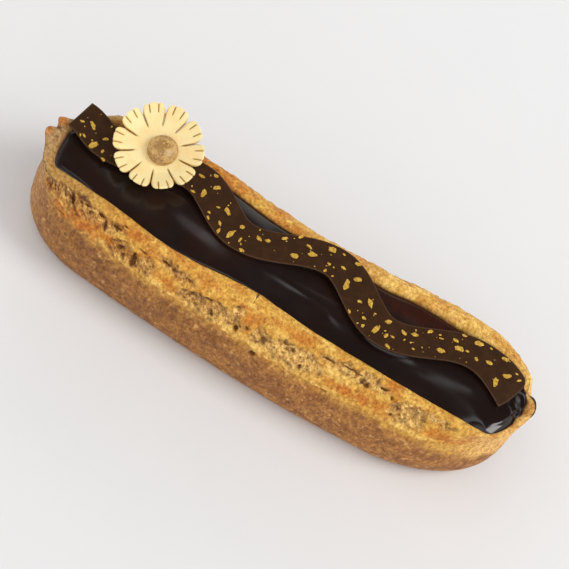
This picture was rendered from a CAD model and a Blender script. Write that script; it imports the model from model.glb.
"""Chocolate eclair: torn, golden choux round a pool of dark glaze, a wavy gold-flecked strip and a flower.

Lengths are millimetres in the frame's axes, and metres only where a mesh, light or camera is written.
"""

import math

import bmesh
import bpy
from mathutils import Matrix, Vector, noise


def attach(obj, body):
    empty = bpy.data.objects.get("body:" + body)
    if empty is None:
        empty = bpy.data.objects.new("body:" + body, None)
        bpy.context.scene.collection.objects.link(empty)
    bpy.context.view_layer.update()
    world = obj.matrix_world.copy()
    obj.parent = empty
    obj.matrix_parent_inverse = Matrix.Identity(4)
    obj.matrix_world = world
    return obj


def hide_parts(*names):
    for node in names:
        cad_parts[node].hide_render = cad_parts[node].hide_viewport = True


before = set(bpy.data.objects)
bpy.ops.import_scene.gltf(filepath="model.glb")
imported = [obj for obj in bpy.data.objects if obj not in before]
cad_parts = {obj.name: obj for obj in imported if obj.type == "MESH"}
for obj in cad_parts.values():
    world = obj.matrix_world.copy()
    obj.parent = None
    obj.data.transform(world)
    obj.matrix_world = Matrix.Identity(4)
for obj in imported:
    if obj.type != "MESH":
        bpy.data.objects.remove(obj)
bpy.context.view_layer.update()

MM = 0.001

# ---- sizes shared with the solids ----

BELLY_Z = 14.0
RIM_Z = 30.4
LIP_DROP = 0.9
TROUGH_DEPTH = 3.2
TROUGH_TAPER = 0.4
FLANK_POWER = 1.7
FOOT_INSET = 4.8
FOOT_END_INSET = 6.0
LUMP_DEPTH = 0.4
LUMP_SPAN = 17.0
DIMPLE_SPAN = 6.0
DIMPLE_SHARE = 0.45

BELLY = {
    "near": [(-72, 17.6), (-30, 20.4), (10, 21.1), (40, 19.0), (72, 15.5)],
    "far": [(-72, 17.5), (-30, 19.0), (5, 18.8), (45, 21.2), (72, 20.0)],
    "left": -66.4,
    "right": 68.0,
    "ends": {"far right": 19, "far left": 26, "near left": 19, "near right": 26},
    "roundness": {"far right": 2.1, "far left": 2, "near left": 2.2, "near right": 1.9},
    "tips": (-2.5, -0.5),
}
LIP = {
    "near": [(-64, 11.5), (-45, 12.2), (-26, 13.9), (-5, 11.8), (12, 12.6), (38, 12.3), (62, 11.3)],
    "far": [(-64, 6.5), (-45, 9.2), (-28, 10.2), (-9, 8.5), (21, 8.9), (34, 10.5), (64, 9.5)],
    "left": -63.4,
    "right": 66.4,
    "ends": {"far right": 13, "far left": 11, "near left": 3.0, "near right": 5.8},
    "roundness": {"far right": 2.3, "far left": 1.8, "near left": 2.3, "near right": 1.7},
    "tips": (-2, 0),
}
CREST = {
    "near": [(x, y + 1.7) for x, y in LIP["near"]],
    "far": [(x, y + 2.1) for x, y in LIP["far"]],
    "left": -66.6,
    "right": 67.8,
    "ends": {"far right": 15, "far left": 20, "near left": 5, "near right": 8},
    "roundness": {"far right": 2.2, "far left": 1.7, "near left": 2.3, "near right": 2.1},
    "tips": (-2, 0),
}

# Lumps and notches of the rim: place, reach and push
RIM_LUMPS = [
    ((-66.5, -4.4, 29.6), 2.2, (-2.2, 0.3, 0.2)),  # overhanging tip
    ((-65.0, -11.0, 28.8), 3.2, (-0.7, -0.6, 0.0)),  # squared corner
    ((-66.2, 1.0, 29.8), 1.2, (-2.0, 0.4, 0.3)),  # nub
    ((-66.8, -1.4, 30.0), 0.9, (1.4, 0.0, -0.8)),  # notch beside the nub
    ((67.6, 0.2, 30.2), 2.7, (1.1, 0.0, 0.9)),  # tab
    ((65.6, 5.6, 30.2), 1.3, (-0.9, 0.0, -2.2)),  # notch beside the tab
    ((45.0, 15.0, 28.5), 13.0, (0.0, 0.7, 0.9)),  # higher back rim
    ((-66.0, -9.0, 25.5), 3.2, (1.1, 0.5, 0.0)),  # drawn in under the squared corner
    ((-54.5, 10.0, 30.0), 4.5, (-0.2, 1.2, 0.8)),  # fuller far corner
]

GLAZE_CROWN = 0.75
GLAZE_WAVES = 0.25
GLAZE_WAVE_SPAN = 10.0
GLAZE_END = 14.0

STRIP_WIDTH = 9.3
STRIP_THICKNESS = 1.3
STRIP_Z = 30.9
STRIP_SLANT = 0.8
STRIP_WAVE = [
    (-63.7, 3.6), (-53, 0.4), (-31.5, 6.1), (-14.3, -1.6), (8.5, 6.3), (27.3, -3.2), (50.5, 5.3), (74, -4),
]
STRIP_CUT = ((60.5, -4.0), (64.2, 6.9))  # near and far corners of its right end
STRIP_CURL = (57.0, 65.0, 0.6)  # it bends down from the first x to the second

FLOWER_AT = Vector((-43.0, 4.8, 35.1))
FLOWER_TILT = 19.0
PETALS = 10
PETAL_REACH = 11.2
PETAL_SLIT = 6.2
PETAL_THICKNESS = 1.4
PETAL_RISE = 2.3
PETAL_TURN = 20.0
FLOWER_FOOT = (1.8, 3.2)
CENTRE_RADIUS = 3.8
CENTRE_HEIGHT = 3.3
CENTRE_OFFSET = (1.4, -0.2)
CENTRE_FOOT = 0.85
CENTRE_GIRTH = 0.25

# ---- sizes of the finer forms ----

END_STATIONS = 75
SIDE_STATIONS = 270
STATIONS = 2 * (2 * END_STATIONS + SIDE_STATIONS)

# Torn, open crumb on the flanks: middle x and z, half-length, half-height, depth, and fall along x
TEARS = [
    (-52.0, 27.3, 11.8, 2.6, 0.8, -0.03), (-62.6, 26.9, 4.6, 2.3, 1.1, 0.0),
    (-40.6, 28.7, 2.8, 0.9, 0.8, 0.0), (-37.0, 23.6, 5.0, 2.9, 1.35, 0.0),
    (-23.0, 27.9, 5.8, 1.35, 1.2, -0.14), (-30.0, 24.0, 2.9, 3.0, 0.6, 0.0),
    (-11.7, 23.5, 9.9, 2.9, 0.8, 0.03), (-4.9, 26.6, 1.5, 1.7, 0.3, 0.0), (3.0, 23.8, 3.5, 2.9, 0.9, 0.0),
    (11.4, 24.5, 8.4, 3.3, 0.8, 0.03), (26.6, 28.8, 10.2, 1.25, 0.8, 0.03),
    (42.6, 25.6, 5.2, 3.3, 0.7, 0.0), (48.0, 28.9, 8.0, 0.8, 0.5, -0.03),
]
# Deep holes, creases and cracks of the crumb: x, z, half-width, half-height, depth, and lean along x
HOLES = [
    (-63.6, 28.8, 1.3, 0.45, 0.9, 0.0), (-53.8, 28.7, 0.55, 1.35, 1.4, -0.5),
    (-53.2, 27.2, 0.35, 0.35, 0.7, 0.0), (-51.4, 28.8, 0.45, 0.5, 0.8, -0.4),
    (-49.6, 28.9, 0.9, 0.3, 0.6, 0.0), (-48.4, 27.8, 0.35, 0.45, 0.8, 0.0),
    (-45.7, 28.9, 0.9, 0.35, 0.8, 0.0), (-43.6, 27.0, 0.5, 1.3, 1.1, -0.3),
    (-40.8, 28.6, 1.3, 0.4, 0.7, 0.0), (-54.6, 22.5, 0.9, 0.25, 0.5, 0.0),
    (-33.6, 23.4, 0.75, 2.2, 1.3, -0.15), (-38.0, 24.3, 0.7, 0.9, 0.8, 0.2),
    (-36.4, 22.8, 0.5, 0.7, 0.7, 0.0), (-32.2, 27.4, 1.2, 0.28, 0.6, 0.1),
    (-26.2, 28.6, 1.3, 0.4, 0.7, -0.2), (-17.3, 24.9, 0.9, 0.4, 0.6, 0.2),
    (-13.0, 25.9, 1.0, 0.3, 0.6, -0.3), (-10.9, 23.0, 0.4, 0.8, 0.7, -0.4),
    (-3.8, 22.7, 0.65, 0.7, 1.6, 0.0), (2.8, 19.0, 0.85, 0.75, 1.4, 0.0), (-1.4, 24.6, 0.6, 0.5, 0.5, -0.3),
    (3.4, 23.9, 0.8, 1.3, 0.9, -0.3), (10.9, 26.2, 0.5, 0.8, 0.9, -0.3), (14.3, 23.1, 0.5, 0.9, 0.9, -0.1),
    (8.2, 26.9, 0.35, 0.8, 0.6, -0.5), (19.4, 28.9, 1.6, 0.3, 0.6, 0.0), (25.5, 29.5, 3.2, 0.22, 0.5, 0.0),
    (30.4, 28.1, 0.7, 0.8, 1.3, -0.2), (28.9, 28.7, 0.7, 0.7, 0.8, 0.0), (34.6, 29.5, 1.2, 0.35, 1.0, 0.0),
    (37.2, 28.4, 0.4, 0.6, 0.9, -0.4), (39.6, 26.9, 0.4, 1.1, 0.7, -0.5), (39.2, 24.2, 0.45, 0.5, 0.8, 0.0),
    (22.3, 20.6, 1.1, 0.25, 0.5, 0.0),
]
# Deeply toasted patches of the crust: x, z, half-length, half-height and strength
TOASTED = [
    (-50.0, 23.9, 10.5, 2.2, 1.0), (-58.5, 25.4, 3.5, 1.4, 0.6), (-36.0, 29.0, 4.0, 1.3, 0.8),
    (-24.9, 24.3, 2.2, 1.3, 1.0), (-13.5, 28.6, 2.6, 0.6, 0.6), (-5.5, 28.5, 3.2, 0.5, 1.0),
    (-0.8, 27.2, 2.3, 2.6, 0.6), (28.3, 23.9, 8.6, 1.4, 1.0), (35.0, 24.8, 2.6, 1.2, 0.9),
    (8.5, 29.4, 7.0, 0.6, 0.6), (53.5, 24.6, 6.5, 2.0, 0.8), (36.5, 30.4, 2.6, 0.6, 0.7),
]
# The same along the far rim: middle x, half-length and strength
FAR_TOASTED = [(-26.0, 9.0, 0.9), (-9.0, 3.0, 0.6), (14.0, 5.0, 0.4), (36.0, 7.0, 0.4), (57.0, 4.0, 0.4)]
# Ragged golden ridges of torn crust below the crumb: middle x and z, half-length, half-height and fall
RIDGES = [
    (-4.0, 21.6, 17.0, 0.75, 0.0), (-38.5, 21.9, 6.0, 0.6, -0.22), (-24.0, 21.6, 5.5, 0.6, 0.0),
    (21.0, 21.6, 5.0, 0.5, 0.0), (44.0, 22.4, 6.0, 0.7, 0.06), (-57.0, 24.9, 4.0, 0.4, -0.1),
    (23.5, 27.2, 5.6, 1.3, 0.0),
]
# Small dark pits of the rim's ends: x, y and reach
RIM_PITS = [(-65.5, -4.5, 0.5), (-66.9, -1.4, 0.8), (-66.0, -1.9, 0.6), (-65.2, -2.3, 0.5), (62.8, -9.2, 0.5)]
# Toasted spots of the rim's ends: x, y, reach and strength
RIM_TOASTED = [
    (-66.6, 0.7, 1.9, 0.75), (-68.2, -4.1, 1.5, 0.65), (67.3, 0.8, 2.4, 0.5), (63.1, -11.5, 1.1, 0.5),
    (65.4, -5.0, 1.5, 0.4),
]
# Noises that roughen edges and surfaces: height, span and layer
WRINKLES = ((0.16, 2.6, 4), (0.07, 1.1, 5))
TEAR_WANDER_X = ((1.1, 2.6, 6), (0.6, 1.0, 7))
TEAR_WANDER_Z = ((0.8, 2.4, 8), (0.6, 1.0, 9))
LEAN_CHANGE = (0.9, 8.0, 21)
STRAND_WANDER = (0.9, 2.6, 22)
RIDGE_WANDER = ((0.9, 3.2, 24), (0.6, 1.2, 25))
TOAST_WANDER = ((1.3, 2.5, 12), (1.1, 0.9, 18))
FAR_TOAST_WANDER = ((1.3, 2.0, 12), (0.9, 0.9, 18))
EVEN_LIP = (0.16, 4.0, 19)  # how the glaze's edge wanders
RAGGED_LIP = (0.55, 1.9, 20)  # the same at the right end
GLAZE_DENTS = (0.25, 1.5, 30)  # beside the ragged lip
STRIP_WAVER = (0.04, 5.0, 13)
BALL_DENTS = ((0.07, 1.6, 14), (0.03, 0.6, 15))

STRAND_LEAN = 0.55  # how far along x the crumb's strands lean for each millimetre of height
STRAND_TURN_Z = 25.0  # the height that they lean round
STRAND_SIZE = (0.9, 2.4, 2.6)  # their span along x, y and z
STRAND_GAIN = 1.9  # how sharply they stand apart
STRAND_DEPTH = 0.34
LOOSE_STRANDS = 1.5  # how much coarser they are at the left end
LOOSE_X = (-56.0, -44.0)  # between these places they turn even
GRAIN_SPAN = 0.65
GRAIN_DEPTH = 0.16
PORE_SIZE = (1.6, 3.0, 1.7)
PORE_DEPTH = 0.3
HOLLOW_SHARES = (1.05, 0.7, 0.8)  # how much strands, fine grain and pores darken the crumb
TEAR_LIP = 0.3  # how far the ragged edge round each tear stands out
WHOLE_ENDS = (1.5, 5.0)  # nothing is torn nearer the middle line than the first distance
FAR_RIM_Z = (26.0, 28.0)  # the crumb of the far flank ends between these heights
FAR_RIDGE_Z = (24.0, 26.0)  # and its ridges between these
FAR_TOAST_Z = (27.5, 29.0)  # its toasted patches give way to the rim's between these
RIM_START_Z = (28.0, 29.5)  # the flank turns into the rim between these
RIDGE_RISE = 0.4  # how far the ridges stand out
FAR_RIDGE_X = (-4.0, 22.0)  # the ridge along the far rim begins between these places

RAGGED_X = (61.0, 64.5)  # the glaze's edge turns ragged between these places
RAGGED_Y = (-6.5, -4.0)
LIP_CALM = 2.5  # how far in the wandering has died away

# ---- helpers ----


def clamp(x):
    return min(max(x, 0.0), 1.0)


def lerp(a, b, t):
    return a + (b - a) * t


def smoothstep(x, low, high):
    t = clamp((x - low) / (high - low))
    return t * t * (3 - 2 * t)


def falling(x, low, high):
    """1 below low and 0 above high."""
    return 1 - smoothstep(x, low, high)


def level_off(x, power=2.0):
    """From 0 at 0 to 1 at 1, steep first and level last."""
    return 1 - (1 - clamp(x)) ** power


def bell(*offsets):
    """1 in the middle, dying away as the offsets grow past 1."""
    return math.exp(-sum(offset**2 for offset in offsets))


def through(knots):
    """A smooth function through a few (x, y) knots."""
    last = len(knots) - 1

    def slope(i, j):
        return (knots[j][1] - knots[i][1]) / (knots[j][0] - knots[i][0])

    tangents = [slope(max(i - 1, 0), min(i + 1, last)) for i in range(last + 1)]

    def value(x):
        i = 0
        while i < last - 1 and x > knots[i + 1][0]:
            i += 1
        span = knots[i + 1][0] - knots[i][0]
        t = clamp((x - knots[i][0]) / span)
        rise = knots[i + 1][1] - knots[i][1]
        a = tangents[i] * span - rise
        b = rise - tangents[i + 1] * span
        return knots[i][1] + rise * t + t * (1 - t) * (a * (1 - t) + b * t)

    return value


def wave(knots):
    """Half a cosine wave between each two knots, so that every knot is a crest or a trough."""

    def value(x):
        i = 0
        while i < len(knots) - 2 and x > knots[i + 1][0]:
            i += 1
        t = clamp((x - knots[i][0]) / (knots[i + 1][0] - knots[i][0]))
        return lerp(knots[i][1], knots[i + 1][1], (1 - math.cos(math.pi * t)) / 2)

    return value


def draw(seed):
    """The same "random" number from 0 to 1 for the same seed every time."""
    s = math.sin(seed * 12.9898 + 4.1414) * 43758.5453
    return s - math.floor(s)


def rough(p, span, layer):
    """Noise from -1 to 1 with features of the given size. Every use has a layer of its own."""
    return noise.noise(Vector((p.x / span + 31 * layer, p.y / span, p.z / span)))


def roughs(p, *waves):
    """A sum of noises, each given by its height, span and layer."""
    return sum(height * rough(p, span, layer) for height, span, layer in waves)


def flank_x(p):
    """x as on the near flank. The far flank has the same marks, turned half round."""
    return p.x if p.y < 0 else -p.x


def quarter(k, count):
    """The turn to the k-th of count equal parts of a quarter circle."""
    return math.pi / 2 * k / count


def sheet(bm, columns, rows):
    """The vertices of a new flat grid from -1 to 1, each with its column and row."""
    for v in bmesh.ops.create_grid(bm, x_segments=columns, y_segments=rows, size=1)["verts"]:
        yield v, round((v.co.x + 1) / 2 * columns), round((v.co.y + 1) / 2 * rows)


def only(kind, geometry):
    return [part for part in geometry if isinstance(part, kind)]


def outline(shape, inset=0.0, end_inset=None):
    """A plan outline of STATIONS points: two long sides and four quarter ends, from the right tip."""
    end_inset = inset if end_inset is None else end_inset
    left = shape["left"] + end_inset
    right = shape["right"] - end_inset
    half = STATIONS // 2

    def point(side, sign, station):
        width = through(shape[side])
        corner = side + (" right" if station < half / 2 else " left")
        power = 2 / shape["roundness"][corner]
        turn = quarter(min(station, half - station, END_STATIONS), END_STATIONS)
        inward = shape["ends"][corner] * (1 - math.cos(turn) ** power)
        share = (station - END_STATIONS) / SIDE_STATIONS
        x = lerp(right - shape["ends"][side + " right"], left + shape["ends"][side + " left"], share)
        if station < END_STATIONS:
            x = right - inward
        if station > half - END_STATIONS:
            x = left + inward
        tip = lerp(*shape["tips"], (x - shape["left"]) / (shape["right"] - shape["left"]))
        return Vector((x, lerp(tip, sign * (width(x) - inset), math.sin(turn) ** power)))

    far = [point("far", 1, station) for station in range(half)]
    near = [point("near", -1, station) for station in range(half, 0, -1)]
    return far + near


def ring_between(start, end, share, z):
    """A level ring at height z, a share of the way from one plan outline to another."""
    return [p.lerp(q, share).to_3d() + Vector((0, 0, z)) for p, q in zip(start, end)]


def raised(plan, z):
    """A level ring at height z on a plan outline."""
    return ring_between(plan, plan, 0, z)


def middle_line(plan):
    """The line along a plan's middle that its two sides fold onto, station by station."""
    return [(plan[i] + plan[-i]) / 2 for i in range(len(plan))]


def close_skin(bm, rows):
    """Wraps a grid round rows of ring points. The first and last row lie on a middle line, so it closes."""
    count = len(rows[0])
    last = len(rows) - 1
    placed = []
    for v, i, j in sheet(bm, count, last):
        v.co = rows[j][i % count] * MM
        placed.append((v, i % count, j))
    return placed


def close_seams(bm):
    bmesh.ops.remove_doubles(bm, verts=bm.verts, dist=0.001 * MM)
    bmesh.ops.dissolve_degenerate(bm, dist=0.0005 * MM, edges=bm.edges)
    bmesh.ops.recalc_face_normals(bm, faces=bm.faces)


def new_object(name, data):
    """An object of a mesh, a camera or a light, in the scene."""
    made = bpy.data.objects.new(name, data)
    bpy.context.scene.collection.objects.link(made)
    return made


def new_solid(name, bm, material):
    """An object of the bmesh's faces."""
    mesh = bpy.data.meshes.new(name)
    bm.to_mesh(mesh)
    bm.free()
    mesh.materials.append(material)
    return new_object(name, mesh)


def dress(name, bm, material, slot, *nodes, smooth=True):
    """Makes a piece of the bmesh, which stands for the CAD nodes and takes the record's slot."""
    for face in bm.faces:
        face.smooth = smooth
    piece = new_solid(name, bm, material)
    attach(piece, "root")
    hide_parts(*nodes)


# ---- shader helpers ----


def srgb(red, green, blue):
    """A colour given as it looks on a screen, 0 to 255, in the shader's linear values."""
    channels = [c / 255 for c in (red, green, blue)]
    linear = [c / 12.92 if c < 0.04045 else ((c + 0.055) / 1.055) ** 2.4 for c in channels]
    return (*linear, 1.0)


class Shades:
    """A node tree of a material or a group, with short ways to add nodes and wire them."""

    def __init__(self, tree):
        self.tree = tree
        self.tree.nodes.clear()

    def put(self, socket, value):
        if isinstance(value, bpy.types.NodeSocket):
            self.tree.links.new(value, socket)
        else:
            socket.default_value = value

    def add(self, kind, sockets=None, **settings):
        node = self.tree.nodes.new(kind)
        for setting, value in settings.items():
            setattr(node, setting, value)
        for socket, value in (sockets or {}).items():
            self.put(node.inputs[socket], value)
        return node

    def math(self, operation, *values):
        return self.add("ShaderNodeMath", dict(enumerate(values)), operation=operation).outputs[0]

    def mix(self, factor, a, b, blend="MIX"):
        node = self.add("ShaderNodeMix", data_type="RGBA", blend_type=blend)
        inputs = {socket.identifier: socket for socket in node.inputs}
        self.put(inputs["Factor_Float"], factor)
        self.put(inputs["A_Color"], a)
        self.put(inputs["B_Color"], b)
        return next(s for s in node.outputs if s.identifier == "Result_Color")

    def remap(self, value, low, high, to_low=0.0, to_high=1.0):
        sockets = {"Value": value, "From Min": low, "From Max": high, "To Min": to_low, "To Max": to_high}
        return self.add("ShaderNodeMapRange", sockets, interpolation_type="SMOOTHSTEP").outputs[0]

    def times(self, *values):
        """The product of the values."""
        product = values[0]
        for value in values[1:]:
            product = self.math("MULTIPLY", product, value)
        return product

    def place(self):
        return self.add("ShaderNodeTexCoord").outputs["Object"]

    def axis(self, name):
        return self.add("ShaderNodeSeparateXYZ", {"Vector": self.place()}).outputs[name]

    def ramp(self, axis, low, high, to_low=0.0, to_high=1.0):
        """A smooth step along an axis, between two places in millimetres."""
        return self.remap(self.axis(axis), low * MM, high * MM, to_low, to_high)

    def mark(self, name):
        """A value painted on the piece's vertices."""
        return self.add("ShaderNodeAttribute", attribute_name=name).outputs["Fac"]

    def texture(self, vector, scale, detail, roughness, distortion=0.0):
        sockets = {"Vector": vector, "Scale": scale, "Detail": detail, "Roughness": roughness}
        return self.add("ShaderNodeTexNoise", {**sockets, "Distortion": distortion}).outputs["Fac"]

    def noise(self, size, detail=2.0, roughness=0.5, stretch=(1, 1, 1), shift=0.0):
        """Noise from 0 to 1 with features of the given size in millimetres, times stretch along each axis."""
        scale = [1 / (size * MM * s) for s in stretch]
        sockets = {"Vector": self.place(), "Scale": scale, "Location": (shift, shift, shift)}
        return self.texture(self.add("ShaderNodeMapping", sockets).outputs[0], 1.0, detail, roughness)

    def patches(self, size, low, high, strength=1.0, detail=3.0, roughness=0.6, **place):
        """Soft patches: 0 where the noise is below low, and the strength where it is above high."""
        return self.remap(self.noise(size, detail, roughness, **place), low, high, 0.0, strength)

    def strands(self, size, lean, detail=2.0):
        """Noise from 0 to 1 drawn out into strands: their size along x, y and z before they lean."""
        sockets = {"Vector": self.place(), "Scale": [s * MM for s in size], "Rotation": (0.0, lean, 0.0)}
        vector = self.add("ShaderNodeMapping", sockets, vector_type="TEXTURE").outputs[0]
        return self.texture(vector, 1.0, detail, 0.6, 1.3)

    def group(self, group, sockets):
        node = self.add("ShaderNodeGroup")
        node.node_tree = group
        for socket, value in sockets.items():
            self.put(node.inputs[socket], value)
        return node.outputs

    def bump(self, height, depth, normal=None):
        """A bump of the given depth in millimetres."""
        sockets = {"Height": height, "Distance": depth * MM, "Strength": 1.0}
        if normal is not None:
            sockets["Normal"] = normal
        return self.add("ShaderNodeBump", sockets).outputs[0]


def new_group(name, inputs, outputs):
    """A shader node group: inputs and outputs as (name, socket type, default). Returns tree, in, out."""
    group = bpy.data.node_groups.new(name, "ShaderNodeTree")
    shades = Shades(group)
    for label, kind, default in inputs:
        socket = group.interface.new_socket(label, in_out="INPUT", socket_type=kind)
        socket.default_value = default
    for label, kind in outputs:
        group.interface.new_socket(label, in_out="OUTPUT", socket_type=kind)
    return group, shades, shades.add("NodeGroupInput").outputs, shades.add("NodeGroupOutput").inputs


def mottle_group():
    """Two colours in soft blotches. Size is the blotches' size in millimetres."""
    colour = "NodeSocketColor"
    number = "NodeSocketFloat"
    inputs = [
        ("Base", colour, (0.5, 0.5, 0.5, 1)), ("Blotch", colour, (0.2, 0.2, 0.2, 1)),
        ("Size", number, 5.0), ("Low", number, 0.45), ("High", number, 0.65), ("Shift", number, 0.0),
    ]
    group, shades, given, made = new_group("soft blotches", inputs, [("Color", colour)])
    scale = shades.math("DIVIDE", 1 / MM, given["Size"])
    moved = shades.add("ShaderNodeVectorMath", {0: shades.place(), 1: given["Shift"]}, operation="ADD")
    value = shades.texture(moved.outputs[0], scale, 3.0, 0.6)
    mask = shades.remap(value, given["Low"], given["High"])
    shades.put(made["Color"], shades.mix(mask, given["Base"], given["Blotch"]))
    return group


def grain_group():
    """Fine surface grain: a height for bumps and a value round 1. Tall draws it out upward."""
    number = "NodeSocketFloat"
    inputs = [("Size", number, 0.5), ("Contrast", number, 0.3), ("Tall", number, 1.0)]
    group, shades, given, made = new_group("fine grain", inputs, [("Height", number), ("Shade", number)])
    scale = shades.math("DIVIDE", 1 / MM, given["Size"])
    tall = shades.add("ShaderNodeCombineXYZ", {"X": 1.0, "Y": 1.0, "Z": given["Tall"]}).outputs[0]
    drawn = shades.add("ShaderNodeVectorMath", {0: shades.place(), 1: tall}, operation="DIVIDE").outputs[0]
    value = shades.texture(drawn, scale, 4.0, 0.65)
    swing = shades.times(shades.math("SUBTRACT", value, 0.5), given["Contrast"])
    shades.put(made["Height"], value)
    shades.put(made["Shade"], shades.math("ADD", 1.0, swing))
    return group


MOTTLE = mottle_group()
GRAIN = grain_group()


def mottled(shades, base, blotch, size, low, high, shift=0.0):
    """Two screen colours in soft blotches."""
    sockets = {"Base": srgb(*base), "Blotch": srgb(*blotch), "Size": size, "Low": low, "High": high}
    return shades.group(MOTTLE, {**sockets, "Shift": shift})["Color"]


def painted(shades, colour, *coats):
    """A colour under coats of paint, each given as its cover from 0 to 1 and its screen colour."""
    for cover, paint in coats:
        colour = shades.mix(cover, colour, srgb(*paint))
    return colour


def new_material(name):
    material = bpy.data.materials.new(name)
    material.use_nodes = True
    return material, Shades(material.node_tree)


def finish_surface(shades, colour, roughness, normal, **sockets):
    named = {key.replace("_", " "): value for key, value in sockets.items()}
    named.update({"Base Color": colour, "Roughness": roughness, "Normal": normal})
    surface = shades.add("ShaderNodeBsdfPrincipled", named)
    shades.add("ShaderNodeOutputMaterial", {"Surface": surface.outputs[0]})


def shaded(shades, colour, value, gains=(1.0, 1.0, 1.0)):
    """A colour times a value round 1. Gains above 1 make a channel swing more than the value does."""
    swing = shades.math("SUBTRACT", value, 1.0)
    channels = {
        name: shades.math("ADD", 1.0, shades.times(swing, gain))
        for name, gain in zip(("Red", "Green", "Blue"), gains)
    }
    tint = shades.add("ShaderNodeCombineColor", channels).outputs[0]
    return shades.mix(1.0, colour, tint, "MULTIPLY")


# ---- materials ----

BAKED_GAINS = (0.8, 1.1, 1.6)  # darker grain is redder, lighter grain paler


def baked_choux():
    material, shades = new_material("baked choux")
    gold = painted(
        shades, mottled(shades, (214, 159, 64), (199, 129, 41), 6.0, 0.44, 0.68),
        (shades.patches(2.4, 0.48, 0.68, 0.7, 4.0, 0.65, stretch=(1.5, 1, 1), shift=8.0), (238, 194, 96)),
        (shades.patches(1.3, 0.58, 0.72, 0.75, shift=11.0), (184, 110, 36)),
        (shades.ramp("X", -63, -36, 0.75, 0.0), (163, 122, 64)),  # duller to the left
        (shades.ramp("X", -66, -61, 0.6, 0.0), (178, 142, 100)),  # pale left tip
        (shades.ramp("X", 54, 66, 0.0, 0.5), (244, 194, 122)),  # bright right end
    )
    brown = painted(
        shades, mottled(shades, (170, 113, 50), (142, 88, 39), 3.2, 0.4, 0.6, 0.4),
        (shades.patches(1.5, 0.56, 0.72, 0.9, 4.0, 0.65, stretch=(1, 1, 1.5), shift=6.0), (98, 57, 26)),
        (shades.patches(1.9, 0.54, 0.7, 0.75, 4.0, 0.65, stretch=(1, 1, 1.5), shift=14.0), (214, 160, 90)),
    )
    brown = shaded(shades, brown, shades.ramp("X", -60, 50, 0.87, 1.06))
    brown = painted(shades, brown, (shades.ramp("X", -67, -54, 0.6, 0.0), (192, 143, 88)))  # pale left end
    left_rise = shades.ramp("X", -62, -28, 2.4 * MM, 0.0)
    higher = shades.math("ADD", left_rise, shades.ramp("X", 44, 64, 0.0, -5.0 * MM))
    waver = shades.times(shades.noise(4.0, 4.0, 0.6, shift=3.0), 6 * MM)
    height = shades.math("SUBTRACT", shades.math("ADD", shades.axis("Z"), waver), higher)
    crust = shades.mix(shades.remap(height, 20.5 * MM, 25.5 * MM), brown, gold)
    crust = painted(shades, crust, (shades.mark("ridge"), (248, 203, 110)))
    scorch = shades.mix(shades.patches(1.6, 0.4, 0.65), srgb(203, 117, 24), srgb(176, 92, 18))
    to_right = shades.ramp("X", -40, 22)
    tan = shades.mix(to_right, srgb(222, 165, 86), srgb(252, 208, 120))
    umber = shades.mix(to_right, srgb(146, 93, 44), srgb(202, 144, 74))
    strand = shades.strands((0.55, 1.7, 1.5), -0.65, 3.0)
    crumb = shades.mix(shades.remap(strand, 0.36, 0.6), umber, tan)
    crumb = painted(shades, crumb, (shades.patches(0.9, 0.56, 0.68, 0.7, shift=16.0), (246, 206, 132)))
    colour = shades.mix(shades.mark("crumb"), crust, crumb)
    colour = shades.mix(shades.mark("toast"), colour, scorch)
    colour = painted(shades, colour, (shades.mark("hollow"), (96, 54, 26)))
    grain = shades.group(GRAIN, {"Size": 0.8, "Contrast": 2.6, "Tall": 1.5})
    colour = shaded(shades, colour, grain["Shade"], BAKED_GAINS)
    colour = painted(shades, colour, (shades.mark("stain"), (92, 52, 22)))
    wobble = shades.times(shades.math("SUBTRACT", shades.noise(1.2, 2.0), 0.5), 1.2 * MM)
    # a thin crack across the near rim
    beside = shades.math("ABSOLUTE", shades.math("ADD", shades.axis("X"), 3.2 * MM))
    beside = shades.math("ABSOLUTE", shades.math("ADD", beside, wobble))
    crack = shades.times(
        shades.remap(beside, 0.06 * MM, 0.2 * MM, 1.0, 0.0),
        shades.ramp("Y", -15.6, -14.4), shades.ramp("Y", 0, 2, 1.0, 0.0),
    )
    colour = painted(shades, colour, (crack, (96, 54, 24)))
    coarse = shades.noise(1.7, 5.0, 0.65, shift=5.0)
    normal = shades.bump(coarse, 0.45)
    normal = shades.bump(grain["Height"], 0.25, normal)
    normal = shades.bump(shades.times(strand, shades.mark("crumb")), 0.3, normal)
    finish_surface(shades, colour, shades.remap(coarse, 0.3, 0.7, 0.5, 0.72), normal, IOR=1.4)
    return material


def poured_glaze():
    material, shades = new_material("poured dark glaze")
    colour = mottled(shades, (30, 20, 17), (40, 22, 15), 22.0, 0.4, 0.7)
    behind = shades.ramp("Y", 2.5, 6.0, 0.0, 0.42)
    middle = shades.times(shades.ramp("X", 14, 21), shades.ramp("X", 44, 52, 1.0, 0.0))
    streaks = shades.remap(shades.noise(1.6, 3.0, 0.6, stretch=(1, 3, 1), shift=2.0), 0.3, 0.65, 0.55, 0.9)
    warm = shades.times(behind, middle, streaks)
    colour = painted(shades, colour, (warm, (78, 32, 14)))
    swell = shades.noise(7.0, 1.0, 0.4, stretch=(2.5, 1, 1), shift=7.0)
    normal = shades.bump(swell, 0.25)
    smear = shades.remap(shades.noise(5.0, 2.0, stretch=(2, 1, 1)), 0.35, 0.7, 0.14, 0.24)
    smear = shades.times(smear, shades.ramp("X", 52, 60, 1.0, 0.5))
    finish_surface(shades, colour, smear, normal, IOR=1.5)
    return material


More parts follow.
